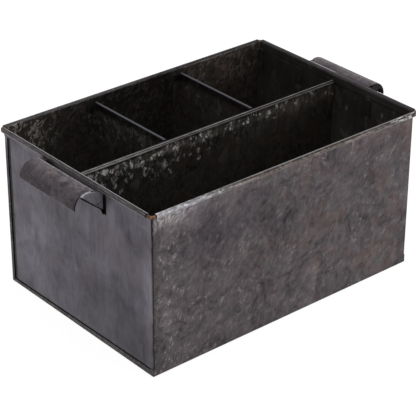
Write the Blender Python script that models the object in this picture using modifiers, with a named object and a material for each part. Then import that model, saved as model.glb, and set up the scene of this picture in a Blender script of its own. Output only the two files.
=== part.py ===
"""Sheet-metal utensil caddy with a wired rim, three dividers and two strap handles.

Metres, +Z up. The origin is at the middle of the base's underside. +X runs along the caddy,
and -Y is the front, on the side of the long compartment.
"""
import math

import bmesh
import bpy
from mathutils import Matrix, Vector

# Overall sizes, over the walls
LENGTH = 0.3000
DEPTH = 0.2071
HEIGHT = 0.1565

# Sheet, and the gap between pieces that touch
SHEET = 0.0006
CLEARANCE = 0.0003

# Rim wire, and the edges rolled round it
WIRE_DIAMETER = 0.0030
WIRE_CORNER_RADIUS = 0.0030
WIRE_BUTT_GAP = 0.0010
RIM_SWEEP = math.radians(300)
RIM_STEPS = 15
CORNER_NOTCH = 0.0015
OPEN_NOTCH_FRONT = 0.0029
OPEN_NOTCH_END = 0.0035

# Wrapped body: bends at the base, and flanges turned in at both ends along the base and the
# back wall. A drop is a distance below the top of the rim.
BASE_BEND_RADIUS = 0.0012
BEND_STEPS = 4
FLANGE_BEND_RADIUS = 0.0006
SIDE_FLANGE = 0.0039
BASE_FLANGE_FRONT = 0.0060
BASE_FLANGE_BACK = 0.0035
FLANGE_DROP = 0.0090

# End panels: the channel that runs under the flanges, and the edge bent behind the front wall
CHANNEL_DEPTH = 0.0022
FRONT_GAP = 0.0004
BACK_GAP = 0.0026
BASE_GAP = 0.0018
FRONT_BEND_RADIUS = 0.0009
FRONT_LAP = 0.0080

# Dividers
DIVIDER_DROP = 0.0050
LONG_DIVIDER_Y = -0.0004
REAR_COMPARTMENTS = 3
LONG_ROLL_RADIUS = 0.0018
SHORT_ROLL_RADIUS = 0.0013
DIVIDER_ROLL_SWEEP = math.radians(265)
DIVIDER_ROLL_STEPS = 11
TAB_WIDTH = 0.0095

# Handle grips, as distances out from the end panel's face
STRAP = 0.0008
GRIP_LENGTH = 0.0776
GRIP_CENTRE_Y = 0.0010
GRIP_RADIUS = 0.0136
GRIP_AXIS_OUT = 0.0147
GRIP_AXIS_DROP = 0.0150
GRIP_START = math.radians(-3)
GRIP_END = math.radians(124)
GRIP_STEPS = 6

# Handle legs: the neck bent down from the grip, and the outline of the flat leg
NECK_START = math.radians(52)
NECK_END = math.radians(104)
NECK_STEPS = 8
NECK_BEND_RADIUS = 0.0014
LEG_KNEE_OUT = 0.0030
LEG_KNEE_DROP = 0.0215
LEG_FOOT_DROP = 0.0277
LEG_DOME_OUT = 0.0040
LEG_DOME_DROP = 0.0020
LEG_DOME_STEPS = 8

# Tongues of the legs, which go through slots and are folded over inside
TONGUE_FOOT_DROP = 0.0265
TONGUE_HEIGHT = 0.0164
TONGUE_LENGTH = 0.0100
TONGUE_BEND_RADIUS = 0.0008
SLOT_WIDTH = 0.0050
SLOT_CORNER_RADIUS = 0.0008

# Worked out from the sizes above: middle surfaces of the walls, and the wire's axis
WALL_X = LENGTH / 2 - SHEET / 2
WALL_Y = DEPTH / 2 - SHEET / 2
SEAT = SHEET + CLEARANCE
ROLL_OUTER = WIRE_DIAMETER / 2 + CLEARANCE + SHEET
WIRE_X = WALL_X + ROLL_OUTER - SHEET / 2
WIRE_Y = WALL_Y + ROLL_OUTER - SHEET / 2
WIRE_Z = HEIGHT - ROLL_OUTER
NOTCH_Z = WIRE_Z - WIRE_DIAMETER / 2 - 2 * CLEARANCE
FLANGE_TOP = HEIGHT - FLANGE_DROP
FACE_FOOT = BASE_FLANGE_FRONT + BASE_GAP + SHEET / 2
CORNER_TOP = FACE_FOOT - CLEARANCE
DIVIDER_TOP = HEIGHT - DIVIDER_DROP
TONGUE_BOTTOM = HEIGHT - TONGUE_FOOT_DROP
TONGUE_TOP = TONGUE_BOTTOM + TONGUE_HEIGHT


def material(name, colour, roughness, metallic):
    """A plain Principled material."""
    made = bpy.data.materials.new(name)
    made.use_nodes = True
    shader = made.node_tree.nodes["Principled BSDF"]
    shader.inputs["Base Color"].default_value = (*colour, 1.0)
    shader.inputs["Roughness"].default_value = roughness
    shader.inputs["Metallic"].default_value = metallic
    return made


def add_sheet(name, bm, thickness, collection, finish):
    """Turns an open middle surface into a sheet of even thickness."""
    bmesh.ops.remove_doubles(bm, verts=bm.verts, dist=0.00001)
    bmesh.ops.recalc_face_normals(bm, faces=bm.faces)
    mesh = bpy.data.meshes.new(name)
    bm.to_mesh(mesh)
    bm.free()
    mesh.shade_smooth()
    mesh.set_sharp_from_angle(angle=math.radians(40))
    mesh.materials.append(finish)
    made = bpy.data.objects.new(name, mesh)
    collection.objects.link(made)
    solid = made.modifiers.new("thickness", "SOLIDIFY")
    solid.thickness = thickness
    solid.offset = 0
    solid.use_even_offset = True
    return made


def chain(bm, points):
    """Edges along a row of points."""
    verts = [bm.verts.new(point) for point in points]
    return [bm.edges.new(pair) for pair in zip(verts, verts[1:])]


def draw_out(bm, edges, places):
    """Extrudes a row of edges once for each place, and gives the last row."""
    for place in places:
        grown = bmesh.ops.extrude_edge_only(bm, edges=edges)["geom"]
        verts = {item for item in grown if isinstance(item, bmesh.types.BMVert)}
        for vert in verts:
            vert.co = place(vert.co)
        edges = [item for item in grown
                 if isinstance(item, bmesh.types.BMEdge) and set(item.verts) <= verts]
    return edges


def moved(x=0.0, y=0.0, z=0.0):
    """A move by a fixed step."""
    return lambda co: co + Vector((x, y, z))


def turned(pivot, axis, angle):
    """A turn about an axis through the pivot."""
    turn = Matrix.Rotation(angle, 3, axis)
    return lambda co: Vector(pivot) + turn @ (co - Vector(pivot))


def near(value, target):
    """True where two lengths are the same to a micrometre."""
    return abs(value - target) < 0.000001


def open_edges(bm, test):
    """The open edges whose two ends pass the test."""
    return [edge for edge in bm.edges
            if edge.is_boundary and all(test(vert.co) for vert in edge.verts)]


def roll_over(bm, edges, lift, pivot, axis, sweep, steps):
    """Raises an edge to the height of the pivot and rolls it over."""
    draw_out(bm, edges, [moved(z=lift)] + [turned(pivot, axis, sweep / steps)] * steps)


def quarter(centre, radius, start, steps):
    """Points on a quarter circle that starts at an angle."""
    turns = [start + math.pi / 2 * step / steps for step in range(steps + 1)]
    return [(centre[0] + radius * math.cos(turn), centre[1] + radius * math.sin(turn))
            for turn in turns]


def wall_profile(inset, front_levels, back_levels):
    """The U of front wall, base and back wall, drawn in by an inset, as (y, z) points."""
    half, floor = WALL_Y - inset, SHEET / 2 + inset
    radius = max(BASE_BEND_RADIUS - SHEET / 2 - inset, CLEARANCE)
    down = [(-half, level) for level in front_levels]
    bends = quarter((radius - half, floor + radius), radius, math.pi, BEND_STEPS)
    bends += quarter((half - radius, floor + radius), radius, -math.pi / 2, BEND_STEPS)
    return down + bends + [(half, level) for level in reversed(back_levels)]


def drawn_in(x, inset):
    """A move to the plane x of the U of walls and base, drawn in with its bends kept round."""
    bend = BASE_BEND_RADIUS - SHEET / 2
    core = max(inset, bend)

    def place(co):
        half = WALL_Y - core
        middle = Vector((x, max(-half, min(half, co.y)), max(SHEET / 2 + core, co.z)))
        out = Vector((x, co.y, co.z)) - middle
        return middle + out.normalized() * (core - inset)

    return place


def seam_line(x, side_front, side_back, base):
    """A move to the plane x of the U, drawn in past its bends to a line along the flanges."""
    front, back = side_front - DEPTH / 2, DEPTH / 2 - side_back
    slope = (BASE_FLANGE_BACK - BASE_FLANGE_FRONT) / (DEPTH - 2 * SIDE_FLANGE)

    def place(co):
        y = max(front, min(back, co.y))
        rise = BASE_FLANGE_FRONT + slope * (y + DEPTH / 2 - SIDE_FLANGE)
        return Vector((x, y, max(rise + base, co.z)))

    return place


def body_wrap(collection, finish):
    """Front wall, base and back wall in one sheet, flanged at both ends and rolled on top.

    Above its corners the front wall stops short of the ends, over the laps of the end panels.
    """
    bm = bmesh.new()
    ends, short = WALL_X - FLANGE_BEND_RADIUS, LENGTH / 2 - CORNER_NOTCH
    columns = [-ends, -short, OPEN_NOTCH_FRONT - LENGTH / 2, short, ends]
    profile = [(-ends, y, z)
               for y, z in wall_profile(0.0, (NOTCH_Z, CORNER_TOP), (NOTCH_Z, FLANGE_TOP))]
    draw_out(bm, chain(bm, profile),
             [moved(x=after - before) for before, after in zip(columns, columns[1:])])
    spare = [face for face in bm.faces
             if all(near(vert.co.y, -WALL_Y) and vert.co.z > CORNER_TOP - CLEARANCE
                    and abs(vert.co.x) > short - CLEARANCE for vert in face.verts)]
    bmesh.ops.delete(bm, geom=spare, context="FACES")
    for end in (-1, 1):
        rim = open_edges(bm, lambda co: near(co.x, end * ends) and co.z < FLANGE_TOP + CLEARANCE)
        places = []
        for step in range(1, BEND_STEPS + 1):
            turn = math.pi / 2 * step / BEND_STEPS
            places.append(drawn_in(end * (ends + FLANGE_BEND_RADIUS * math.sin(turn)),
                                   FLANGE_BEND_RADIUS * (1 - math.cos(turn))))
        draw_out(bm, rim, places + [seam_line(end * WALL_X, SIDE_FLANGE, SIDE_FLANGE, 0.0)])
    for wall, first in ((-1, OPEN_NOTCH_FRONT), (1, CORNER_NOTCH)):
        top = open_edges(bm, lambda co: near(co.y, wall * WALL_Y) and near(co.z, NOTCH_Z)
                         and first - CLEARANCE < co.x + LENGTH / 2 and co.x < short + CLEARANCE)
        roll_over(bm, top, WIRE_Z - NOTCH_Z, (0, wall * WIRE_Y, WIRE_Z), "X",
                  -wall * RIM_SWEEP, RIM_STEPS)
    return add_sheet("body_wrap", bm, SHEET, collection, finish)


def slot_cutter(side, end, cutters):
    """A cutter with rounded corners for the slot that one handle leg enters."""
    bm = bmesh.new()
    bmesh.ops.create_cube(bm, size=1.0)
    low, high = TONGUE_BOTTOM - CLEARANCE, TONGUE_TOP + CLEARANCE
    bmesh.ops.scale(bm, vec=(SHEET * 6, SLOT_WIDTH, high - low), verts=bm.verts)
    across = [edge for edge in bm.edges if not near(edge.verts[0].co.x, edge.verts[1].co.x)]
    bmesh.ops.bevel(bm, geom=across, offset=SLOT_CORNER_RADIUS, segments=4,
                    profile=0.5, affect="EDGES", material=-1)
    inner = GRIP_CENTRE_Y + end * (GRIP_LENGTH / 2 + NECK_BEND_RADIUS - STRAP / 2 - CLEARANCE)
    mesh = bpy.data.meshes.new("slot_cutter")
    bm.to_mesh(mesh)
    bm.free()
    made = bpy.data.objects.new("slot_cutter", mesh)
    made.location = (side * WALL_X, inner + end * SLOT_WIDTH / 2, (low + high) / 2)
    made.hide_render = True
    made.display_type = "WIRE"
    cutters.objects.link(made)
    return made


def end_panel(name, side, collection, cutters, finish):
    """An end wall in a channel under the flanges, bent behind the front wall, with two slots."""
    bm = bmesh.new()
    lip, sunk, face = side * (WALL_X - SEAT + SHEET / 2), side * (WALL_X - CHANNEL_DEPTH), side * WALL_X
    seam = (SIDE_FLANGE + FRONT_GAP + SHEET / 2, SIDE_FLANGE + BACK_GAP + SHEET / 2,
            BASE_GAP + SHEET / 2)
    row = chain(bm, [(lip, y, z) for y, z in wall_profile(SEAT, (BASE_FLANGE_FRONT,), (FLANGE_TOP,))])
    draw_out(bm, row, [moved(x=sunk - lip), seam_line(sunk, *seam), seam_line(face, *seam)])
    bmesh.ops.remove_doubles(bm, verts=bm.verts, dist=0.00001)
    corners = sorted((vert for vert in bm.verts if near(vert.co.x, face)), key=lambda vert: vert.co.z)
    front = [vert for vert in corners if vert.co.y < 0]
    back = [vert for vert in corners if vert.co.y > 0]
    bend_y, low = FRONT_BEND_RADIUS + SEAT - WALL_Y, FLANGE_TOP + CLEARANCE
    open_y = max((OPEN_NOTCH_END if side < 0 else CORNER_NOTCH) - DEPTH / 2, bend_y + SHEET)
    close_y = DEPTH / 2 - CORNER_NOTCH
    crown = [(back[-1].co.y, low), (DEPTH / 2, low), (DEPTH / 2, NOTCH_Z), (close_y, NOTCH_Z),
             (open_y, NOTCH_Z), (bend_y, NOTCH_Z), (bend_y, FACE_FOOT)]
    bm.faces.new(front[::-1] + back + [bm.verts.new((face, y, z)) for y, z in crown])
    top = open_edges(bm, lambda co: near(co.z, NOTCH_Z)
                     and open_y - CLEARANCE < co.y < close_y + CLEARANCE)
    roll_over(bm, top, WIRE_Z - NOTCH_Z, (side * WIRE_X, 0, WIRE_Z), "Y",
              side * RIM_SWEEP, RIM_STEPS)
    turn = turned((face - side * FRONT_BEND_RADIUS, bend_y, 0), "Z", -side * math.pi / 2 / BEND_STEPS)
    draw_out(bm, open_edges(bm, lambda co: near(co.x, face) and near(co.y, bend_y)),
             [turn] * BEND_STEPS + [moved(x=-side * FRONT_LAP)])
    made = add_sheet(name, bm, SHEET, collection, finish)
    for end in (-1, 1):
        cut = made.modifiers.new("slot", "BOOLEAN")
        cut.operation = "DIFFERENCE"
        cut.object = slot_cutter(side, end, cutters)
    return made


def rim_wire(collection, finish):
    """One wire bent to the rim's rectangle, its ends meeting inside the back wall's roll."""
    points = [(-WIRE_BUTT_GAP / 2, WIRE_Y)]
    reach_x, reach_y = WIRE_X - WIRE_CORNER_RADIUS, WIRE_Y - WIRE_CORNER_RADIUS
    for x, y, start in ((-1, 1, 90), (-1, -1, 180), (1, -1, 270), (1, 1, 0)):
        points += quarter((x * reach_x, y * reach_y), WIRE_CORNER_RADIUS, math.radians(start), 6)
    points.append((WIRE_BUTT_GAP / 2, WIRE_Y))
    data = bpy.data.curves.new("rim_wire", "CURVE")
    data.dimensions = "3D"
    data.bevel_depth = WIRE_DIAMETER / 2
    data.bevel_resolution = 3
    data.use_fill_caps = True
    data.materials.append(finish)
    spline = data.splines.new("POLY")
    spline.points.add(len(points) - 1)
    for slot, (x, y) in zip(spline.points, points):
        slot.co = (x, y, WIRE_Z, 1.0)
    made = bpy.data.objects.new("rim_wire", data)
    collection.objects.link(made)
    return made


def long_divider(collection, finish):
    """The wall between the long compartment and the rear ones, with a tab at each end."""
    bm = bmesh.new()
    reach = WALL_X - SEAT
    notch = WALL_X - CHANNEL_DEPTH - SHEET / 2 - CLEARANCE
    shelf = max(BASE_FLANGE_FRONT, BASE_FLANGE_BACK) + BASE_GAP + SHEET + CLEARANCE
    lip_z = DIVIDER_TOP - LONG_ROLL_RADIUS
    pivot = (0, LONG_DIVIDER_Y - LONG_ROLL_RADIUS + SHEET / 2, lip_z)
    row = chain(bm, [(x, LONG_DIVIDER_Y, SEAT) for x in (-notch, notch)])
    draw_out(bm, row, [moved(z=shelf - SEAT), moved(z=lip_z - shelf)])
    roll_over(bm, open_edges(bm, lambda co: near(co.z, lip_z)), 0.0, pivot, "X",
              DIVIDER_ROLL_SWEEP, DIVIDER_ROLL_STEPS)
    for end in (-1, 1):
        side = open_edges(bm, lambda co: near(co.x, end * notch) and near(co.y, LONG_DIVIDER_Y)
                          and shelf - CLEARANCE < co.z < lip_z + CLEARANCE)
        draw_out(bm, side, [moved(x=end * (reach - notch)), moved(y=TAB_WIDTH)])
    return add_sheet("long_divider", bm, SHEET, collection, finish)


def short_divider(name, x, collection, finish):
    """A wall between two rear compartments, with a tab on the back wall and on the long divider."""
    bm = bmesh.new()
    first, last = LONG_DIVIDER_Y + SEAT, WALL_Y - SEAT
    lip_z = DIVIDER_TOP - SHORT_ROLL_RADIUS
    roll = (first + SEAT, last - SEAT)
    stations = sorted((first, roll[0], last - BASE_BEND_RADIUS, roll[1], last))
    foot = [(x, y, SEAT + max(0.0, y - last + BASE_BEND_RADIUS)) for y in stations]
    draw_out(bm, chain(bm, foot), [lambda co: Vector((co.x, co.y, lip_z))])
    top = open_edges(bm, lambda co: near(co.z, lip_z)
                     and roll[0] - CLEARANCE < co.y < roll[1] + CLEARANCE)
    pivot = (x - SHORT_ROLL_RADIUS + SHEET / 2, 0, lip_z)
    roll_over(bm, top, 0.0, pivot, "Y", -DIVIDER_ROLL_SWEEP, DIVIDER_ROLL_STEPS)
    for y in (first, last):
        draw_out(bm, open_edges(bm, lambda co: near(co.y, y) and near(co.x, x)), [moved(x=-TAB_WIDTH)])
    return add_sheet(name, bm, SHEET, collection, finish)


def handle(name, side, collection, finish):
    """A strap bent to a half-round grip, with a neck, a leg and a folded tongue at each end."""
    bm = bmesh.new()
    radius = GRIP_RADIUS - STRAP / 2
    axis = Vector((side * (LENGTH / 2 + GRIP_AXIS_OUT), 0, HEIGHT - GRIP_AXIS_DROP))

    def at(out, y, drop):
        return Vector((side * (LENGTH / 2 + out), y, HEIGHT - drop))

    def on_arc(turn, reach, y):
        return axis + Vector((side * reach * math.cos(turn), y, reach * math.sin(turn)))

    def drawn(reach, y):
        def place(co):
            return on_arc(math.atan2(co.z - axis.z, side * (co.x - axis.x)), reach, y)
        return place

    spans = ((GRIP_START, NECK_START, GRIP_STEPS), (NECK_START, NECK_END, NECK_STEPS),
             (NECK_END, GRIP_END, 3))
    turns = [low + (high - low) * step / steps for low, high, steps in spans for step in range(steps)]
    first = GRIP_CENTRE_Y - GRIP_LENGTH / 2
    row = chain(bm, [on_arc(turn, radius, first) for turn in turns + [GRIP_END]])
    draw_out(bm, row, [moved(y=GRIP_LENGTH)])
    bend_out = TONGUE_BEND_RADIUS - SEAT - STRAP / 2
    for end in (-1, 1):
        edge = GRIP_CENTRE_Y + end * GRIP_LENGTH / 2
        leg_y = edge + end * NECK_BEND_RADIUS
        low, high = on_arc(NECK_START, radius, edge), on_arc(NECK_END, radius, edge)
        neck = open_edges(bm, lambda co: near(co.y, edge) and side * (low.x - co.x) > -0.000001
                          and side * (co.x - high.x) > -0.000001 and co.z > low.z - 0.000001)
        places = []
        for step in range(1, BEND_STEPS + 1):
            turn = math.pi / 2 * step / BEND_STEPS
            places.append(drawn(radius - NECK_BEND_RADIUS * (1 - math.cos(turn)),
                                edge + end * NECK_BEND_RADIUS * math.sin(turn)))
        ends = {vert for item in draw_out(bm, neck, places) for vert in item.verts}
        neck_ring = sorted(ends, key=lambda vert: side * vert.co.x)
        start = neck_ring[0].co.copy()
        tongue_top = TONGUE_FOOT_DROP - TONGUE_HEIGHT
        dome, slot_top = at(LEG_DOME_OUT, leg_y, LEG_DOME_DROP), at(CLEARANCE, leg_y, tongue_top)
        outline = [at(LEG_KNEE_OUT, leg_y, LEG_KNEE_DROP), at(CLEARANCE, leg_y, LEG_FOOT_DROP),
                   at(CLEARANCE, leg_y, TONGUE_FOOT_DROP), at(bend_out, leg_y, TONGUE_FOOT_DROP),
                   at(bend_out, leg_y, tongue_top)]
        for step in range(LEG_DOME_STEPS):
            share = step / LEG_DOME_STEPS
            outline.append(slot_top * (1 - share) ** 2 + dome * 2 * share * (1 - share)
                           + start * share ** 2)
        verts = [bm.verts.new(point) for point in outline]
        bm.faces.new(neck_ring + verts)
        tongue = [item for item in verts[3].link_edges if verts[4] in item.verts]
        fold = turned(at(bend_out, leg_y + end * TONGUE_BEND_RADIUS, 0), "Z",
                      -side * end * math.pi / 2 / BEND_STEPS)
        draw_out(bm, tongue, [fold] * BEND_STEPS + [moved(y=end * TONGUE_LENGTH)])
    return add_sheet(name, bm, STRAP, collection, finish)


def build():
    """Models the caddy, one object for each piece."""
    for item in list(bpy.data.objects):
        bpy.data.objects.remove(item, do_unlink=True)
    caddy = bpy.data.collections.new("utensil_caddy")
    cutters = bpy.data.collections.new("cutters")
    for collection in (caddy, cutters):
        bpy.context.scene.collection.children.link(collection)
    body = material("galvanised_body", (0.105, 0.095, 0.095), 0.5, 0.7)
    ends = material("galvanised_end", (0.13, 0.125, 0.13), 0.45, 0.7)
    inner = material("galvanised_divider", (0.09, 0.085, 0.08), 0.45, 0.7)
    wire = material("coppered_wire", (0.42, 0.24, 0.15), 0.35, 0.9)
    strap = material("handle_strap", (0.13, 0.12, 0.115), 0.45, 0.7)
    body_wrap(caddy, body)
    rim_wire(caddy, wire)
    long_divider(caddy, inner)
    for place, name in enumerate(("short_divider_left", "short_divider_right"), 1):
        short_divider(name, LENGTH * (place / REAR_COMPARTMENTS - 0.5), caddy, inner)
    for side, name in ((-1, "left"), (1, "right")):
        end_panel("end_panel_" + name, side, caddy, cutters, ends)
        handle("handle_" + name, side, caddy, strap)


build()
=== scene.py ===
"""Studio scene of a dark galvanised utensil caddy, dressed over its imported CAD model.

Metres, +Z up, origin at the middle of the base's underside.
"""
import math

import bmesh
import bpy
from mathutils import Matrix, Vector, noise


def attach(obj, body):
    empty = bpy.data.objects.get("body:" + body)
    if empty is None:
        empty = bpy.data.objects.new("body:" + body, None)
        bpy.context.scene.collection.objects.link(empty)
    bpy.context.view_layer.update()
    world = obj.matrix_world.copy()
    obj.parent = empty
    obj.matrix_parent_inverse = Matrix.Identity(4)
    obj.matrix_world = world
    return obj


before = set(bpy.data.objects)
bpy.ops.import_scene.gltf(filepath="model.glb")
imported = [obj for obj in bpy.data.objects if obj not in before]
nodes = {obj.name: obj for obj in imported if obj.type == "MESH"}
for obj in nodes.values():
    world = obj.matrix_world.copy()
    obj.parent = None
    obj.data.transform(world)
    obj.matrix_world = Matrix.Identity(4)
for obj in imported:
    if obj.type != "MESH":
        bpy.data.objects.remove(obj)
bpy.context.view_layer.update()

# The CAD model's sizes that the finishes follow.
HALF_X, HALF_Y, TOP = 0.1500, 0.10355, 0.1565
LONG_DIVIDER_Y, LONG_DIVIDER_ROLL = -0.0004, (-0.0019, 0.1497)
GRIP_Y, GRIP_HALF, GRIP_AXIS_OUT, GRIP_AXIS_Z = 0.0010, 0.0388, 0.0147, 0.1415
LEG_KNEE_OUT, LEG_KNEE_Z, LEG_SLOPE = 0.0030, 0.1350, (0.6492, 0.7606)
WIRE_X, WIRE_Y, WIRE_Z = 0.1518, 0.10535, 0.1541

# Places where one part of a node passes into the next, each as the two ends of the passage.
ROLL_FOOT = (0.1518, 0.1523)
END_SKIN, SIDE_SKIN, BASE_SKIN = (0.14960, 0.14975), (0.10322, 0.10328), (0.0002, 0.0004)
LEFT_TO_RIGHT, FRONT_TO_BACK = (-0.01, 0.01), (0.0, 0.01)

# What the materials share. Most of a noise's values lie in its span, about its middle.
SHEET_METAL, SOLDER_METAL, WIRE_METAL = 0.75, 0.6, 0.9
DULL_SHINE, FULL_SHINE = 0.15, 0.5
NOISE_MIDDLE, NOISE_SPAN = 0.5, (0.35, 0.65)
DEGREES_IN_RADIAN = 57.2958


def linear(red, green, blue):
    """A colour written as seen on screen, 0 to 255, as the linear values that nodes hold."""
    return tuple((c / 255 / 12.92) if c / 255 <= 0.04045 else ((c / 255 + 0.055) / 1.055) ** 2.4
                 for c in (red, green, blue)) + (1.0,)


class Graph:
    """Short calls for building one material's nodes."""

    def __init__(self, name):
        self.material = bpy.data.materials.new(name)
        self.material.use_nodes = True
        self.tree = self.material.node_tree
        self.shader = self.tree.nodes["Principled BSDF"]
        self.place = self.add("ShaderNodeTexCoord").outputs["Object"]
        self.x, self.y, self.z = self.add("ShaderNodeSeparateXYZ", {0: self.place}).outputs

    def add(self, kind, inputs=None, **settings):
        """A node with its settings and inputs."""
        node = self.tree.nodes.new(kind)
        for key, value in settings.items():
            setattr(node, key, value)
        for key, value in (inputs or {}).items():
            self.feed(node.inputs[key], value)
        return node

    def feed(self, socket, value):
        """Links a socket to another one, or sets its value."""
        if isinstance(value, bpy.types.NodeSocket):
            self.tree.links.new(value, socket)
        elif value is not None:
            socket.default_value = value

    def sums(self, operation, first, second=None, third=None):
        """One arithmetic step on one, two or three values."""
        return self.add("ShaderNodeMath", {0: first, 1: second, 2: third},
                        operation=operation).outputs[0]

    def plus(self, first, *others):
        """The sum of several values."""
        for other in others:
            first = self.sums("ADD", first, other)
        return first

    def minus(self, first, second):
        """The difference of two values."""
        return self.sums("SUBTRACT", first, second)

    def times(self, first, *others):
        """The product of several values."""
        for other in others:
            first = self.sums("MULTIPLY", first, other)
        return first

    def vector(self, operation, first, second=None, scale=None):
        """One step on one or two vectors."""
        others = {1: second} if scale is None else {"Scale": scale}
        node = self.add("ShaderNodeVectorMath", {0: first, **others}, operation=operation)
        return node.outputs["Value" if operation == "LENGTH" else "Vector"]

    def noise(self, scale, detail, rough, vector=None, bend=0.0, output=0):
        """Cloudy noise of a scale, with finer detail and its weight, and folded over by a bend."""
        return self.add("ShaderNodeTexNoise", {"Vector": vector or self.place, "Scale": scale,
                                               "Detail": detail, "Roughness": rough,
                                               "Distortion": bend}).outputs[output]

    def stretch(self, scale=(1, 1, 1), vector=None, turn=(0, 0, 0), shift=(0, 0, 0)):
        """The place with its axes turned, stretched and shifted."""
        return self.add("ShaderNodeMapping", {"Vector": vector or self.place, "Scale": scale,
                                              "Rotation": turn, "Location": shift}).outputs[0]

    def between(self, value, low, high, to_low=0.0, to_high=1.0, kind="SMOOTHSTEP"):
        """Spreads the part of a value from low to high over a new range."""
        return self.add("ShaderNodeMapRange",
                        {"Value": value, "From Min": low, "From Max": high,
                         "To Min": to_low, "To Max": to_high}, interpolation_type=kind).outputs[0]

    def below(self, value, low, high):
        """Full up to the low value, and gone from the high one on."""
        return self.between(value, low, high, 1.0, 0.0)

    def evenly(self, value, low, high, to_low, to_high):
        """Spreads a value over a new range along a straight line."""
        return self.between(value, low, high, to_low, to_high, "LINEAR")

    def band(self, value, low, high, soft=0.0003):
        """Full where a value lies between two limits, with soft borders."""
        return self.times(self.between(value, low - soft, low + soft),
                          self.below(value, high - soft, high + soft))

    def patch(self, centre, inner, outer, flat=(1, 1, 1)):
        """A soft round patch about a point, full to the inner radius and gone at the outer one."""
        offset = self.vector("MULTIPLY", self.vector("SUBTRACT", self.place, centre), flat)
        return self.below(self.vector("LENGTH", offset), inner, outer)

    def far(self, value):
        """A value's distance from nought."""
        return self.sums("ABSOLUTE", value)

    def swing(self, value, reach):
        """A cloudy value centred on nought, with about the given reach."""
        return self.times(self.minus(value, NOISE_MIDDLE), reach)

    def mix(self, share, first, second):
        """Two colours mixed by a share."""
        return self.add("ShaderNodeMix", {0: share, 6: first, 7: second},
                        data_type="RGBA").outputs[2]

    def tones(self, share, first, second):
        """Two colours, written as seen on screen, mixed by a share."""
        return self.mix(share, linear(*first), linear(*second))

    def paint(self, colour, tone, *shares):
        """A colour painted over with a tone, written as seen on screen, by a product of shares."""
        return self.mix(self.times(*shares), colour, linear(*tone))

    def shaded(self, colour, *factors):
        """A colour made lighter or darker by factors.

        A factor in brackets holds an amount and its shares, and stands for one plus their product.
        """
        whole = [self.sums("MULTIPLY_ADD", self.times(*factor[1:]), factor[0], 1.0)
                 if isinstance(factor, tuple) else factor for factor in factors]
        return self.vector("SCALE", colour, scale=self.times(*whole))

    def finish(self, colour, rough, height, depth, metal=SHEET_METAL, shine=DULL_SHINE, strength=0.7):
        """Joins a finish's values to its shader."""
        bump = self.add("ShaderNodeBump", {"Height": height, "Distance": depth, "Strength": strength})
        for name, value in (("Base Color", colour), ("Roughness", rough), ("Metallic", metal),
                            ("Specular IOR Level", shine), ("Normal", bump.outputs[0])):
            self.feed(self.shader.inputs[name], value)
        return self.material


def drifted(graph, drift, reach):
    """The place pushed about by a colour's three values."""
    push = graph.vector("SUBTRACT", drift, (NOISE_MIDDLE,) * 3)
    return graph.vector("ADD", graph.place, graph.vector("SCALE", push, scale=reach))


def warped(graph, reach, size):
    """The place pushed about by a slow cloudy drift."""
    return drifted(graph, graph.noise(1 / size, 3.0, 0.5, output="Color"), reach)


def spangle(graph, size, tall, fray=2.2, shift=(0, 0, 0)):
    """Torn crystal cells, as three values that each hold over one cell."""
    place = drifted(graph, graph.noise(1.1 / size, 5.0, 0.68, output="Color"), size * fray)
    cells = graph.add("ShaderNodeTexVoronoi",
                      {"Vector": graph.stretch((1, 1, 1 / tall), place, shift=shift),
                       "Scale": 1 / size})
    return graph.add("ShaderNodeSeparateColor", {0: cells.outputs["Color"]}).outputs


def brushed(graph, cell, leans, width, length, reach):
    """Brush marks that lean one way or the other, as a crystal's value picks."""
    pick = graph.between(cell, 0.44, 0.52)
    place = warped(graph, reach, reach * 1.6)
    one, other = (graph.noise(1.0, 2.5, 0.5, graph.stretch(
        (1 / length, 1 / width, 1 / width),
        graph.stretch(vector=place, turn=(0, math.radians(lean), 0)))) for lean in leans)
    return graph.plus(graph.times(one, pick), graph.times(other, graph.minus(1.0, pick)))


def weighted(graph, *parts):
    """The sum of values about one half, each with a weight, as a value from nought to one."""
    total = NOISE_MIDDLE
    for value, weight in parts:
        total = graph.plus(graph.swing(value, weight), total)
    return graph.sums("MINIMUM", graph.sums("MAXIMUM", total, 0.0), 1.0)


def turn_of(graph, out, up):
    """How far a roll's face has turned, in degrees from straight up towards the outside."""
    return graph.times(graph.sums("ARCTAN2", out, up), DEGREES_IN_RADIAN)


def on_roll(graph):
    """Full on the rolled rims, which lie above the walls' plain part."""
    return graph.between(graph.z, *ROLL_FOOT)


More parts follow.
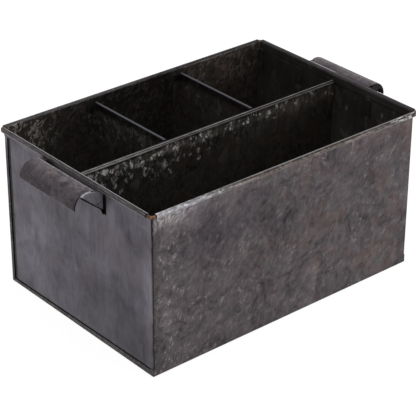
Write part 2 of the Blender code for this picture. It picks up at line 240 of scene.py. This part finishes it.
def body_zinc():
    """The wrap: torn, brushed zinc crystals with painted light and shade outside, darker inside, flakes on
    the rims.
    """
    graph = Graph("galvanised_body")
    x, y, z = graph.x, graph.y, graph.z
    broad, hue, cast = spangle(graph, 0.0120, 1.1)
    small, rest, odd = spangle(graph, 0.0062, 1.3, fray=1.9, shift=(0.3, 0, 0.7))
    place = warped(graph, 0.022, 0.040)
    feather = graph.noise(54.0, 5.0, 0.60, place, bend=1.5)
    curl = graph.noise(105.0, 5.0, 0.60, place, bend=1.3)
    marks = brushed(graph, hue, (38, 82), 0.0020, 0.0068, 0.016)
    strokes = brushed(graph, cast, (26, 66), 0.0045, 0.0120, 0.026)
    cloud = graph.noise(22.0, 3.0, 0.5)
    level = weighted(graph, (broad, 0.16), (small, 0.13), (feather, 1.1), (curl, 0.55),
                     (marks, 0.65), (strokes, 0.75), (cloud, 0.6))
    colour = graph.tones(level, (46, 41, 44), (108, 101, 103))

    patches = graph.noise(30.0, 3.0, 0.55, graph.stretch(shift=(0.7, 0, 0.1)))
    low_left = graph.times(graph.between(x, -0.100, -0.138), graph.between(z, 0.130, 0.095))
    patchy = graph.plus(graph.between(patches, 0.44, 0.60), low_left, 0.12)
    torn = graph.times(graph.between(marks, 0.53, 0.62), graph.between(strokes, 0.46, 0.56),
                       graph.between(curl, 0.44, 0.56), patchy)
    colour = graph.paint(colour, (142, 137, 139), torn, 0.52)
    pits = graph.times(graph.between(curl, 0.43, 0.39), graph.between(feather, 0.50, 0.46), patchy)
    colour = graph.paint(colour, (58, 52, 55), pits, 0.28)
    specks = graph.times(graph.between(odd, 0.955, 0.970), graph.between(curl, 0.52, 0.58))
    colour = graph.paint(colour, (150, 145, 147), specks, 0.3)

    warmth = graph.noise(44.0, 4.0, 0.6, place, bend=1.0)
    warm = graph.times(graph.between(warmth, 0.50, 0.60), graph.between(x, -0.12, 0.08, 0.03, 0.62))
    colour = graph.mix(warm, colour, graph.tones(level, (58, 46, 46), (116, 98, 96)))
    chill = graph.noise(36.0, 4.0, 0.6, graph.stretch(vector=place, shift=(0.4, 0, 0.9)))
    cool = graph.times(graph.between(chill, 0.52, 0.62), graph.between(x, -0.02, 0.09, 0.32, 0.08))
    colour = graph.mix(cool, colour, graph.tones(level, (42, 38, 46), (102, 95, 106)))
    colour = graph.paint(colour, (86, 88, 86), graph.between(rest, 0.74, 0.82), 0.25)

    # Painted shade: a soft darker patch, tinted purple, on the front wall left of the middle.
    painted_shade_patch = graph.patch((-0.082, -HALF_Y, 0.115), 0.005, 0.05)
    colour = graph.paint(colour, (74, 67, 76), painted_shade_patch, 0.25)
    # Painted light: the front wall lighter towards its top and upper left, with lighter painted highlight
    # tones in a patch near the top left corner.
    painted_light_upper_left = graph.times(graph.between(z, 0.124, 0.150), graph.between(x, -0.05, -0.135))
    painted_highlight_top_left = graph.times(graph.between(z, 0.134, 0.148), graph.between(x, -0.105, -0.130))
    painted_highlight_tones = graph.tones(graph.between(marks, 0.40, 0.62), (56, 54, 54), (116, 114, 113))
    colour = graph.mix(graph.times(painted_highlight_top_left, 0.55), colour, painted_highlight_tones)
    painted_light_top_strip = graph.between(z, 0.136, 0.150)
    painted_light_low_right = graph.patch((0.11, -HALF_Y, 0.045), 0.01, 0.07)
    # Darker towards the bottom.
    darker_low_down = graph.between(z, 0.0, 0.020, 0.90, 1.0)
    # Painted shade along the front wall's foot and towards its left corner, next to the end panel's bend.
    painted_shade_at_foot = graph.between(z, 0.0, 0.0016, 0.60, 1.0)
    painted_shade_left_corner = graph.between(x, -0.1495, -0.1400, 0.68, 1.0)
    painted_light_towards_left = graph.between(x, -0.1200, -0.0700, 1.10, 0.95)
    # Painted light and shade over the front wall: the patches and strips above, painted light low on the
    # right and towards the left, a little darker towards the bottom.
    colour = graph.shaded(colour, (-0.10, painted_shade_patch), (0.50, painted_light_upper_left), (0.40, painted_highlight_top_left), (0.30, painted_light_top_strip),
                          (0.09, painted_light_low_right), darker_low_down, painted_shade_at_foot, painted_shade_left_corner, painted_light_towards_left)
    colour = graph.mix(on_roll(graph), colour, body_roll(graph))

    inside = graph.times(graph.below(graph.far(y), *SIDE_SKIN), graph.below(graph.far(x), *END_SKIN),
                         graph.between(z, *BASE_SKIN))
    colour = graph.mix(inside, colour, body_inner_faces(graph, level, warm, cool, curl, marks))
    return graph.finish(colour, graph.evenly(level, 0.0, 1.0, 0.56, 0.42),
                        graph.plus(feather, graph.times(curl, 0.5)), 0.00022)


def body_roll(graph):
    """The front and back rims: painted highlight and shade lines along the roll, bright scuffs that are
    brightest towards the left end as painted highlight, and a back rim darker over its right half.
    """
    x, y = graph.x, graph.y
    scuff = graph.noise(1.0, 4.0, 0.65, graph.stretch((260, 420, 420)))
    grain = graph.between(scuff, *NOISE_SPAN)
    turn = turn_of(graph, graph.minus(graph.times(y, -1.0), WIRE_Y), graph.minus(graph.z, WIRE_Z))
    # Painted highlight: the front rim's roll in lighter tones towards its left end.
    painted_highlight_left = graph.between(x, -0.045, -0.128)
    roll = graph.mix(painted_highlight_left, graph.tones(grain, (80, 72, 69), (112, 103, 98)),
                     graph.tones(grain, (132, 131, 134), (178, 178, 182)))
    # Painted shade: dark lines along the roll at set turns of its face, fading towards both ends, and darker
    # at the right end.
    painted_shade_line, fading_left = graph.band(turn, 17, 58, 5), graph.between(x, -0.125, 0.020, 0.25, 1.0)
    fading_right = graph.between(x, 0.10, 0.06, 0.35, 1.0)
    inner_slope, left_part = graph.between(turn, 46, 20), graph.band(x, -0.128, -0.045, 0.010)
    painted_shade_outer_line, far_right = graph.band(turn, 70, 104, 6), graph.between(x, 0.085, 0.110)
    roll = graph.shaded(roll, (-0.66, painted_shade_line, fading_left, fading_right),
                        (-0.45, inner_slope, left_part), (-0.36, painted_shade_outer_line, far_right),
                        (-0.38, far_right))
    # Painted highlight low on the roll's outer side.
    roll = graph.paint(roll, (150, 143, 143), graph.between(turn, 106, 124), 0.7)

    # Bright scuffs over the roll, shown more near the right front corner, and most towards the left end,
    # where the extra brightness is painted highlight.
    right_corner = graph.patch((0.136, -0.106, TOP), 0.004, 0.022)
    bright = graph.plus(graph.times(painted_highlight_left, 0.7), 0.06, right_corner)
    roll = graph.paint(roll, (205, 205, 208), graph.between(scuff, 0.54, 0.61), bright)
    # Light streaks along the roll, kept to one band of its face's turn as a painted highlight.
    runs = graph.noise(1.0, 3.0, 0.5, graph.stretch((60, 300, 300)))
    roll = graph.paint(roll, (150, 144, 142), graph.between(runs, 0.52, 0.58),
                       graph.between(turn, 56, 66), 0.5)
    # Painted highlight on the roll's inner side, faint at the left end, and painted shade below it where the
    # roll turns in to the wall.
    roll = graph.paint(roll, (138, 136, 140), graph.band(turn, -24, 10, 4),
                       graph.between(x, -0.11, -0.03, 0.1, 0.8))
    roll = graph.paint(roll, (20, 18, 18), graph.between(turn, -22, -28))
    back = graph.tones(graph.between(x, -0.02, 0.02), (76, 74, 76), (40, 37, 37))
    return graph.mix(graph.between(y, *FRONT_TO_BACK), roll, graph.mix(grain, back, linear(58, 55, 57)))


def body_inner_faces(graph, level, warm, cool, curl, marks):
    """The wrap's inner faces: darker than outside, lighter towards both ends and low down as painted light,
    painted shade in the middle, and flakes shown mostly at the left end.
    """
    x, z = graph.x, graph.z
    inner_tone = graph.tones(level, (30, 28, 26), (74, 68, 64))
    inner_tone = graph.paint(inner_tone, (76, 58, 54), warm, 0.5)
    inner_tone = graph.paint(inner_tone, (58, 60, 54), cool)
    # Painted light in patches at both ends and lower down, and painted shade over the middle and in a band
    # below the rim there.
    left_end = graph.times(graph.between(x, -0.085, -0.125), graph.between(z, 0.105, 0.135))
    right_end = graph.times(graph.between(x, 0.045, 0.075), graph.between(z, 0.115, 0.135))
    middle = graph.band(x, -0.050, 0.045, 0.012)
    inner_tone = graph.shaded(inner_tone, (0.5, left_end), (0.5, right_end), (-0.38, middle),
                        (-0.35, graph.between(z, 0.134, 0.142), middle),
                        graph.between(z, 0.150, 0.085, 1.0, 1.6))
    # Zinc flakes, shown mostly at the left end where light falls, as painted highlight.
    share = graph.plus(graph.times(left_end, 1.1), graph.plus(graph.times(right_end, 0.22), 0.08))
    flakes = graph.times(graph.between(curl, 0.47, 0.53), graph.between(marks, 0.46, 0.56), share)
    return graph.paint(inner_tone, (168, 160, 154), flakes)


def end_zinc():
    """The end panels: smoother zinc with soft upright streaks, painted light and shade outside and on the
    rims, and darker inside.
    """
    graph = Graph("galvanised_end")
    x, y, z = graph.x, graph.y, graph.z
    place = warped(graph, 0.012, 0.03)
    streaks = graph.noise(1.0, 4.0, 0.6, graph.stretch((150, 150, 20), place))
    hair = graph.noise(1.0, 3.0, 0.6, graph.stretch((420, 420, 50), place))
    cloud = graph.noise(22.0, 4.0, 0.55, place)
    mottle = graph.noise(1.0, 4.0, 0.6, graph.stretch((70, 95, 60), place), bend=0.5)
    broad, hue = spangle(graph, 0.016, 1.8)[:2]
    level = weighted(graph, (streaks, 0.6), (hair, 0.3), (cloud, 1.5), (mottle, 1.0), (broad, 0.10))
    colour = graph.tones(level, (64, 61, 67), (114, 111, 120))
    colour = graph.paint(colour, (98, 88, 94), graph.between(hue, 0.55, 0.8), 0.30)

    # Painted light towards the back and painted shade towards the front foot of the outer faces, a painted
    # highlight on the front bend, and slightly darker overall, more so at the foot.
    painted_light_back = graph.patch((-HALF_X, 0.066, 0.070), 0.01, 0.07)
    painted_shade_front = graph.patch((-HALF_X, -0.075, 0.0), 0.030, 0.125)
    painted_highlight_front_bend = graph.between(y, -0.1040, -0.0890, 1.60, 1.0)
    foot = graph.between(z, 0.0, 0.012, 0.82, 0.92)
    colour = graph.shaded(colour, (0.12, painted_light_back), (-0.30, painted_shade_front), painted_highlight_front_bend, foot)
    # Painted shade in the back channel below the flange top, and painted shade around and below the grip,
    # left off in front of it.
    channel, under_roll = graph.between(y, 0.0938, 0.0950), graph.between(z, 0.1480, 0.1472)
    painted_shade_by_grip = graph.patch((-HALF_X, 0.0, 0.128), 0.028, 0.060)
    colour = graph.shaded(colour, (-0.93, channel, under_roll),
                          (-0.14, painted_shade_by_grip, graph.between(y, -0.042, -0.030)))

    right = graph.between(x, *LEFT_TO_RIGHT)
    reach = graph.far(graph.minus(y, GRIP_Y))
    beside = graph.below(reach, GRIP_HALF - 0.001, GRIP_HALF + 0.004)
    colour = graph.mix(on_roll(graph), colour, end_roll(graph, right, beside))
    # Painted shadow on the panel behind the grip and over the legs, and a painted highlight just under the
    # bead on the left panel, away from the grip.
    painted_shadow_behind_grip = graph.band(z, 0.1450, 0.1519, 0.0005)
    painted_shadow_over_leg = graph.times(graph.band(reach, GRIP_HALF + 0.0005, GRIP_HALF + 0.0056),
                           graph.band(z, 0.1460, 0.1520))
    painted_highlight_under_bead = graph.times(graph.band(z, 0.1508, 0.1522), graph.between(beside, 1.0, 0.0),
                             graph.between(x, 0.01, -0.01), graph.between(graph.far(x), 0.1496, 0.1499))
    colour = graph.shaded(colour, (-0.96, beside, painted_shadow_behind_grip), (-0.94, painted_shadow_over_leg), (0.36, painted_highlight_under_bead))

    blobs = graph.noise(75.0, 2.5, 0.5, graph.stretch((1, 1, 0.7), place))
    inner_tone = graph.tones(level, (34, 32, 31), (70, 66, 64))
    inner_tone = graph.paint(inner_tone, (104, 96, 90), graph.between(blobs, 0.58, 0.66), 0.28)
    # Three small pale spots on the right panel's inner face; the one in front of the front slot is a painted
    # glint at the folded tab's end.
    spots = (0.1494, -0.0473, 0.1455), (0.1494, -0.0190, 0.1283), (0.1494, -0.0648, 0.1372)
    for spot in spots:
        inner_tone = graph.paint(inner_tone, (112, 104, 98), graph.patch(spot, 0.0006, 0.0024, (1, 1, 0.6)), 0.8)
    # Lighter low down as painted light, painted shade over the step below the rim, and painted light towards
    # the front on the right panel.
    inner_tone = graph.shaded(inner_tone, graph.between(z, 0.150, 0.090, 1.0, 2.1),
                        (-0.60, graph.band(z, 0.1468, 0.1481, 0.0002)),
                        (0.3, graph.between(y, 0.020, -0.010), right))
    colour = graph.mix(graph.below(graph.far(x), *END_SKIN), colour, inner_tone)
    return graph.finish(colour, graph.evenly(level, 0.0, 1.0, 0.52, 0.40),
                        graph.plus(cloud, graph.times(mottle, 0.4)), 0.00025)


def end_roll(graph, right, beside):
    """The end rims: painted shade on top and on the outer flank towards the front, painted highlights low on
    the outer flank and on the inner flank, painted shadow next to the grip, and the right rim in plainer,
    darker tones as painted shade.
    """
    scuff = graph.noise(1.0, 4.0, 0.6, graph.stretch((500, 130, 700)))
    grain = graph.between(scuff, *NOISE_SPAN)
    turn = turn_of(graph, graph.minus(graph.far(graph.x), WIRE_X), graph.minus(graph.z, WIRE_Z))
    roll = graph.tones(grain, (60, 56, 57), (92, 87, 89))
    front_half = graph.between(graph.y, 0.0, -0.06)
    # Painted shade and painted highlight lines by how far the rim's face has turned, and painted shadow
    # beside the grip.
    roll = graph.shaded(roll, (-0.66, graph.band(turn, 0, 26, 4)),
                        (-0.32, graph.band(turn, 64, 90, 5), front_half))
    roll = graph.paint(roll, (132, 129, 134), graph.between(turn, 88, 104), 0.55)
    roll = graph.paint(roll, (150, 148, 152), graph.between(turn, -2, -8))
    roll = graph.shaded(roll, (-0.93, beside, graph.between(turn, 64, 92)))
    return graph.mix(right, roll, graph.tones(grain, (46, 43, 45), (60, 57, 60)))


def divider_zinc():
    """The dividers: dark, lighter low down as painted light, bright torn flakes kept near the top and left
    where light falls, painted shadow under the rolls, and rolls with painted highlight lines.
    """
    graph = Graph("galvanised_divider")
    x, y, z = graph.x, graph.y, graph.z
    small, rest = spangle(graph, 0.0029, 1.6, fray=2.8)[:2]
    broad, hue = spangle(graph, 0.009, 1.4, shift=(0.5, 0, 0.2))[:2]
    marks = brushed(graph, hue, (72, 100), 0.0013, 0.0050, 0.004)
    mottle = graph.noise(110.0, 5.0, 0.65, bend=0.8)
    level = weighted(graph, (broad, 0.3), (marks, 1.6), (mottle, 1.3))
    colour = graph.tones(level, (20, 19, 17), (72, 70, 66))

    # The flakes spread higher up and towards the left, where light falls, as painted highlight.
    upward = graph.evenly(z, 0.112, 0.150, 0.0, 0.62)
    leftmost, rightward = graph.between(x, -0.09, -0.14, 0.0, 0.12), graph.between(x, -0.05, 0.06, 0.0, 0.30)
    torn_line = graph.swing(graph.noise(30.0, 3.0, 0.5), 0.8)
    height = graph.minus(graph.plus(upward, leftmost, torn_line), rightward)
    haze = graph.noise(1.0, 3.0, 0.55, graph.stretch((75, 75, 42), shift=(3, 0, 1)), bend=0.6)
    dim = graph.times(graph.between(haze, 0.55, 0.64), graph.between(z, 0.100, 0.125),
                      graph.between(x, 0.08, 0.02, 0.3, 1.0))
    colour = graph.paint(colour, (96, 94, 89), dim, 0.55)

    long_face = graph.below(y, LONG_DIVIDER_Y - 0.0001, LONG_DIVIDER_Y + 0.0001)
    flake = graph.between(graph.plus(small, height), 1.03, 1.06)
    more = graph.sums("MULTIPLY_ADD", long_face, 3.2, 1.0)
    share = graph.plus(graph.times(graph.between(marks, 0.42, 0.56), more, 0.23),
                       graph.times(long_face, 0.10))
    tint = graph.tones(rest, (84, 82, 80), (214, 212, 210))
    colour = graph.mix(graph.times(flake, share), colour, tint)
    colour = graph.paint(colour, (66, 50, 46), graph.between(hue, 0.6, 0.8), 0.35)
    runs = graph.noise(1.0, 3.0, 0.6, graph.stretch((170, 170, 44)), bend=0.4)
    colour = graph.paint(colour, (96, 91, 86), graph.between(runs, 0.50, 0.62), long_face,
                         graph.between(z, 0.112, 0.134), graph.between(x, -0.02, 0.05), 0.45)

    # The rear and short faces a quarter lighter, painted light high up towards the long divider's right end,
    # painted shadow under the short dividers' rolls, and lighter low down as painted light.
    rear = graph.minus(1.0, long_face)
    painted_light_end = graph.times(long_face, graph.between(x, 0.045, 0.085), graph.between(z, 0.128, 0.140))
    colour = graph.shaded(colour, graph.between(z, 0.150, 0.085, 1.0, 1.4), (0.25, rear),
                          (1.2, painted_light_end), (-0.65, rear, graph.between(z, 0.1400, 0.1450)))
    # Painted highlight along a short divider's tab edge on the back wall.
    tab = graph.times(graph.band(x, 0.0398, 0.0406, 0.0002), graph.between(y, 0.100, 0.101),
                      graph.band(z, 0.118, 0.140, 0.002))
    colour = graph.paint(colour, (110, 106, 100), tab)

    rise = graph.minus(z, LONG_DIVIDER_ROLL[1])
    colour = graph.mix(graph.between(rise, -0.0012, -0.0006), colour, divider_roll(graph, rise))
    # Painted shadow under the long divider's roll on its front face, strongest at the left, and painted
    # light in a band below it, away from the right end.
    under_roll = graph.band(z, 0.1453, 0.1472, 0.0002)
    glow = graph.times(long_face, graph.band(z, 0.1380, 0.1462, 0.0020), graph.between(x, 0.09, 0.04))
    colour = graph.shaded(colour, (-0.7, long_face, under_roll, graph.between(x, -0.10, -0.04, 1.0, 0.45)),
                          (1.1, glow))
    return graph.finish(colour, graph.evenly(level, 0.0, 1.0, 0.60, 0.44),
                        graph.plus(mottle, graph.times(marks, 0.6)), 0.00025)


def divider_roll(graph, rise):
    """The dividers' rolled tops: painted highlight and shade lines along the long one, and plain dark short
    ones with a thin painted highlight line.
    """
    x, y = graph.x, graph.y
    across = graph.minus(LONG_DIVIDER_ROLL[0], y)
    scuff = graph.noise(1.0, 3.0, 0.6, graph.stretch((140, 700, 700)))
    grain = graph.between(scuff, *NOISE_SPAN)
    turn = turn_of(graph, across, rise)
    leftward = graph.between(x, -0.03, -0.09)
    rail = graph.tones(grain, (18, 16, 16), (44, 40, 40))
    # Painted highlight on the long roll's front, lighter towards the left, and painted highlight and shade
    # lines by how far its face has turned.
    front = graph.tones(leftward, (128, 121, 119), (178, 172, 172))
    lower = graph.tones(leftward, (70, 65, 64), (222, 216, 216))
    front = graph.mix(graph.between(turn, 98, 108), front, lower)
    front = graph.shaded(front, graph.between(grain, 0.0, 1.0, 0.75, 1.1))
    rail = graph.mix(graph.between(turn, 66, 74), rail, front)
    line = graph.plus(turn, graph.evenly(x, -0.03, 0.14, 0.0, 30.0))
    rail = graph.mix(graph.band(line, 14, 42, 4), rail, graph.tones(grain, (100, 97, 99), (132, 130, 132)))
    rail = graph.paint(rail, (26, 25, 26), graph.between(line, 16, 10))
    short_rail = graph.tones(grain, (38, 38, 42), (58, 58, 63))
    # A thin painted highlight line along the short rolls.
    short_rail = graph.paint(short_rail, (82, 82, 88), graph.between(graph.z, 0.1508, 0.1513))
    on_long = graph.below(y, LONG_DIVIDER_Y + 0.0003, LONG_DIVIDER_Y + 0.0005)
    return graph.mix(on_long, short_rail, rail)


def strap_zinc():
    """The handles: warm grey swirls with painted light and shade on the grips, light legs as painted light,
    painted shade at the slots, and darker inside.
    """
    graph = Graph("handle_strap")
    y, z = graph.y, graph.z
    place = warped(graph, 0.014, 0.012)
    swirl = graph.noise(70.0, 5.0, 0.6, place, bend=1.8)
    hair = graph.noise(1.0, 3.0, 0.6, graph.stretch((460, 120, 460), place))
    cloud = graph.noise(34.0, 3.0, 0.5)
    level = weighted(graph, (swirl, 2.1), (hair, 0.8), (cloud, 0.9))
    out = graph.minus(graph.far(graph.x), HALF_X)
    past = graph.minus(graph.far(graph.minus(y, GRIP_Y)), GRIP_HALF)
    right = graph.between(graph.x, *LEFT_TO_RIGHT)
    left = graph.minus(1.0, right)

    colour = graph.tones(level, (52, 47, 51), (107, 100, 105))
    warmth = graph.noise(52.0, 3.0, 0.5, graph.stretch(shift=(0, 2.0, 0)))
    colour = graph.paint(colour, (112, 99, 89), graph.between(warmth, 0.46, 0.66),
                         graph.band(out, 0.0125, 0.0205, 0.003), graph.between(swirl, 0.40, 0.52),
                         graph.between(graph.far(y), 0.038, 0.020, 0.4, 1.0), 0.62)
    # Painted light and shade across the grips by distance from the panel: the left grip lighter at its inner
    # edge and darker on its outer slope and low down, the right grip lighter on its crown and darker on its
    # slope, front and inner edge.
    inner_slope, inner_edge, brink = (graph.between(out, *ends) for ends in (
        (0.0125, 0.0095), (0.0112, 0.0094), (0.0096, 0.0088)))
    outer_slope, low_part = graph.between(out, 0.0175, 0.0215), graph.between(z, 0.1520, 0.1430)
    back_part, upper_face = graph.between(y, 0.005, 0.030), graph.band(out, 0.0125, 0.019, 0.001)
    far_crown, far_slope, far_edge = (graph.between(out, *ends) for ends in (
        (0.0125, 0.0160), (0.0175, 0.0205), (0.0105, 0.0085)))
    far_front, far_brink = graph.between(y, 0.010, -0.020), graph.between(out, 0.0086, 0.0082)
    colour = graph.shaded(colour, (0.15, left, inner_slope), (1.0, left, inner_edge),
                          (1.6, left, brink), (-0.34, left, outer_slope), (-0.14, left, low_part),
                          (-0.08, left, back_part, upper_face), (0.22, right, far_crown),
                          (-0.42, right, far_slope), (-0.12, right, far_front),
                          (-0.40, right, far_edge))
    # Painted highlight along the right grip's inner brink.
    colour = graph.paint(colour, (150, 148, 150), right, far_brink, graph.between(y, 0.0, 0.012))

    grip = graph.below(past, 0.0001, 0.0003)
    # A painted highlight line along the grip's lower lip, and painted shade inside its hollow.
    lip = graph.times(graph.below(z, 0.1408, 0.1412), graph.between(out, 0.024, 0.026))
    colour = graph.paint(colour, (134, 130, 136), lip, grip)
    spread = graph.plus(graph.sums("POWER", graph.minus(out, GRIP_AXIS_OUT), 2.0),
                        graph.sums("POWER", graph.minus(z, GRIP_AXIS_Z), 2.0))
    hollow = graph.between(spread, 0.01355 ** 2, 0.0133 ** 2)
    colour = graph.shaded(colour, (-0.85, grip, hollow))
    # Painted shade along the grip's near end.
    end_line = graph.times(graph.band(past, -0.0009, 0.0002, 0.0002), graph.between(y, 0.0, -0.01),
                           graph.between(out, 0.0210, 0.0225))
    colour = graph.shaded(colour, (-0.55, end_line))

    # Painted light: the legs in light tones, with the right handle's legs in painted shade.
    leg = graph.between(past, 0.0005, 0.0009)
    pale = graph.tones(graph.between(hair, 0.3, 0.7), (126, 123, 130), (152, 149, 156))
    colour = graph.mix(leg, colour, graph.shaded(pale, (-0.95, right)))
    colour = graph.paint(colour, (52, 44, 44), leg, graph.band(out, 0.0048, 0.0064),
                         graph.band(z, 0.1400, 0.1418, 0.0004), 0.9)
    # Painted shade along the legs' lower slanted edge, and near black, as painted shade, where they enter
    # the slots.
    under = graph.minus(graph.times(graph.minus(out, LEG_KNEE_OUT), LEG_SLOPE[0]),
                        graph.times(graph.minus(z, LEG_KNEE_Z), LEG_SLOPE[1]))
    colour = graph.paint(colour, (24, 20, 22), leg, graph.between(under, -0.0013, -0.0008))
    colour = graph.paint(colour, (12, 11, 11), leg, graph.between(out, 0.0007, 0.0001))
    # The tongues inside the panels in darker tones, as painted shade, so that the slots show dark.
    inner_tone = graph.tones(level, (30, 28, 27), (66, 62, 60))
    colour = graph.mix(graph.between(out, -0.00125, -0.00135), colour, inner_tone)
    colour = graph.mix(graph.times(right, graph.between(out, -0.00061, -0.00067)), colour, inner_tone)
    return graph.finish(colour, graph.evenly(level, 0.0, 1.0, 0.55, 0.38), graph.plus(swirl, cloud), 0.0002)


def coppered_wire():
    """Scuffed wire, copper-brown at the front left corner and greyer elsewhere."""
    graph = Graph("coppered_wire")
    scuffs = graph.noise(420.0, 4.0, 0.6)
    colour = graph.tones(graph.between(scuffs, 0.35, 0.7), (66, 47, 37), (120, 92, 74))
    near_corner = graph.patch((-WIRE_X, -WIRE_Y, WIRE_Z), 0.006, 0.012)
    elsewhere = graph.sums("MULTIPLY_ADD", near_corner, -1.0, 1.0)
    colour = graph.paint(colour, (98, 88, 82), elsewhere, 0.6)
    return graph.finish(colour, graph.between(scuffs, 0.3, 0.7, 0.3, 0.5), scuffs, 0.00008,
                        metal=WIRE_METAL, shine=FULL_SHINE, strength=1.0)


def solder_and_shade_grey():
    """Dark grey solder run into the top corners, and dark blobs of the same grey that stand in for the shade
    in the back channels and slots, as painted shade.
    """
    graph = Graph("corner_solder")
    blob_noise = graph.noise(900.0, 4.0, 0.6)
    colour = graph.tones(graph.between(blob_noise, *NOISE_SPAN), (24, 22, 22), (58, 52, 50))
    return graph.finish(colour, graph.between(blob_noise, 0.3, 0.7, 0.75, 0.5), blob_noise, 0.00006,
                        metal=SOLDER_METAL)


def dress(material, *names):
    """Gives CAD nodes a finish."""
    for name in names:
        data = nodes[name].data
        data.materials.clear()
        data.materials.append(material)


def lump(name, places, size, material):
    """Small worn blobs of one kind at several places, as one piece."""
    swell, lumpiness, unlike = 0.16, 1.7, 400.0
    bm = bmesh.new()
    for place in places:
        for vert in bmesh.ops.create_icosphere(bm, subdivisions=3, radius=1.0)["verts"]:
            grown = 1.0 + swell * noise.noise(vert.co * lumpiness + Vector(place) * unlike)
            vert.co = Vector(place) + Vector(part * grown * half for part, half in zip(vert.co, size))
    for face in bm.faces:
        face.smooth = True
    mesh = bpy.data.meshes.new(name)
    bm.to_mesh(mesh)
    bm.free()
    mesh.materials.append(material)
    piece = bpy.data.objects.new(name, mesh)
    bpy.context.scene.collection.objects.link(piece)
    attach(piece, "root")


def studio_camera():
    """The camera of the photograph: a long lens from the front left, above the rim."""
    turn, rise, roll = (math.radians(a) for a in (-40.2631, 28.7007, 0.2279))
    distance, leftward, downward = 1.588758, 0.002534, 0.010616
    focal_pixels, image_width, sensor_width = 1756.205, 416, 36.0
    centre = Vector((0, 0, 0.15649 / 2))

    back = Vector((math.sin(turn) * math.cos(rise), -math.cos(turn) * math.cos(rise), math.sin(rise)))
    across = Vector((0, 0, 1)).cross(back).normalized()
    upward = back.cross(across)
    across, upward = (across * math.cos(roll) + upward * math.sin(roll),
                      upward * math.cos(roll) - across * math.sin(roll))
    data = bpy.data.cameras.new("camera")
    data.sensor_fit = "HORIZONTAL"
    data.sensor_width = sensor_width
    data.lens = sensor_width * focal_pixels / image_width
    data.clip_start, data.clip_end = 0.05, 50.0
    made = bpy.data.objects.new("camera", data)
    made.matrix_world = Matrix((across, upward, back)).transposed().to_4x4()
    made.matrix_world.translation = centre + back * distance - across * leftward - upward * downward
    bpy.context.scene.collection.objects.link(made)
    bpy.context.scene.camera = made


def lamp(name, place, size, power):
    """A soft square lamp that faces the caddy's middle."""
    data = bpy.data.lights.new(name, "AREA")
    data.shape = "SQUARE"
    data.size, data.energy = size, power
    made = bpy.data.objects.new(name, data)
    made.location = place
    middle = Vector((0, 0, 0.08))
    made.rotation_euler = (middle - Vector(place)).to_track_quat("-Z", "Y").to_euler()
    bpy.context.scene.collection.objects.link(made)


def by_ray(tree, hidden, seen):
    """One value for rays from the camera, a mirror-like surface or glass, and another for the rest."""
    rays = tree.nodes.new("ShaderNodeLightPath").outputs
    result = rays["Is Camera Ray"]
    for name in ("Is Glossy Ray", "Is Transmission Ray"):
        either = tree.nodes.new("ShaderNodeMath")
        either.operation = "MAXIMUM"
        tree.links.new(result, either.inputs[0])
        tree.links.new(rays[name], either.inputs[1])
        result = either.outputs[0]
    spread = tree.nodes.new("ShaderNodeMapRange")
    tree.links.new(result, spread.inputs["Value"])
    spread.inputs["To Min"].default_value = hidden
    spread.inputs["To Max"].default_value = seen
    return spread.outputs[0]


def surroundings():
    """A world that is white to the eye and dimmer as a light."""
    as_light, as_seen = 0.62, 1.0
    world = bpy.data.worlds.new("studio")
    bpy.context.scene.world = world
    world.use_nodes = True
    background = world.node_tree.nodes["Background"]
    background.inputs["Color"].default_value = (1, 1, 1, 1)
    world.node_tree.links.new(by_ray(world.node_tree, as_light, as_seen), background.inputs["Strength"])


def floor_paper():
    """Matt paper that mostly glows to the eye, so that it is white and keeps only a faint shadow."""
    paper_white, glow_strength, glow_share = 0.9, 1.10, 0.82
    paper = bpy.data.materials.new("floor_paper")
    paper.use_nodes = True
    tree = paper.node_tree
    shader = tree.nodes["Principled BSDF"]
    shader.inputs["Base Color"].default_value = (paper_white, paper_white, paper_white, 1)
    shader.inputs["Roughness"].default_value = 1.0
    shader.inputs["Specular IOR Level"].default_value = 0.0
    glow = tree.nodes.new("ShaderNodeEmission")
    glow.inputs["Strength"].default_value = glow_strength
    join = tree.nodes.new("ShaderNodeMixShader")
    for source, target in ((by_ray(tree, 0.0, glow_share), join.inputs[0]),
                           (shader.outputs[0], join.inputs[1]), (glow.outputs[0], join.inputs[2]),
                           (join.outputs[0], tree.nodes["Material Output"].inputs["Surface"])):
        tree.links.new(source, target)
    return paper


def studio_floor():
    """A wide floor just under the caddy."""
    half_width, drop = 3.0, 0.0004
    bm = bmesh.new()
    bmesh.ops.create_grid(bm, x_segments=1, y_segments=1, size=half_width)
    bmesh.ops.translate(bm, vec=(0, 0, -drop), verts=bm.verts)
    mesh = bpy.data.meshes.new("floor")
    bm.to_mesh(mesh)
    bm.free()
    mesh.materials.append(floor_paper())
    floor = bpy.data.objects.new("floor", mesh)
    bpy.context.scene.collection.objects.link(floor)


dress(body_zinc(), "body_wrap")
dress(end_zinc(), "end_panel_left", "end_panel_right")
dress(divider_zinc(), "long_divider", "short_divider_left", "short_divider_right")
dress(strap_zinc(), "handle_left", "handle_right")
dress(coppered_wire(), "rim_wire")

# Solder blobs at the top corners; dark blobs at the back channels' upper ends and above the handles' slots,
# as painted shade.
solder = solder_and_shade_grey()
sides = (-1, 1)
lump("corner_solder", [(side * 0.14985, front * 0.10335, 0.1522) for side in sides for front in sides],
     (0.0011, 0.0011, 0.0010), solder)
lump("channel_painted_shade", [(side * 0.14945, 0.09820, 0.14755) for side in sides],
     (0.0006, 0.0019, 0.0009), solder)
lump("slot_painted_shade", [(side * 0.14955, y, 0.1465) for side in sides for y in (-0.0409, 0.0429)],
     (0.00035, 0.0027, 0.0006), solder)

bpy.context.scene.view_settings.view_transform = "Standard"
studio_camera()
surroundings()
studio_floor()
lamp("key", (-1.1, -1.0, 1.9), 1.2, 10)
lamp("fill", (1.6, -1.6, 1.0), 1.4, 8)
lamp("top", (0.1, 0.3, 2.2), 1.6, 9)
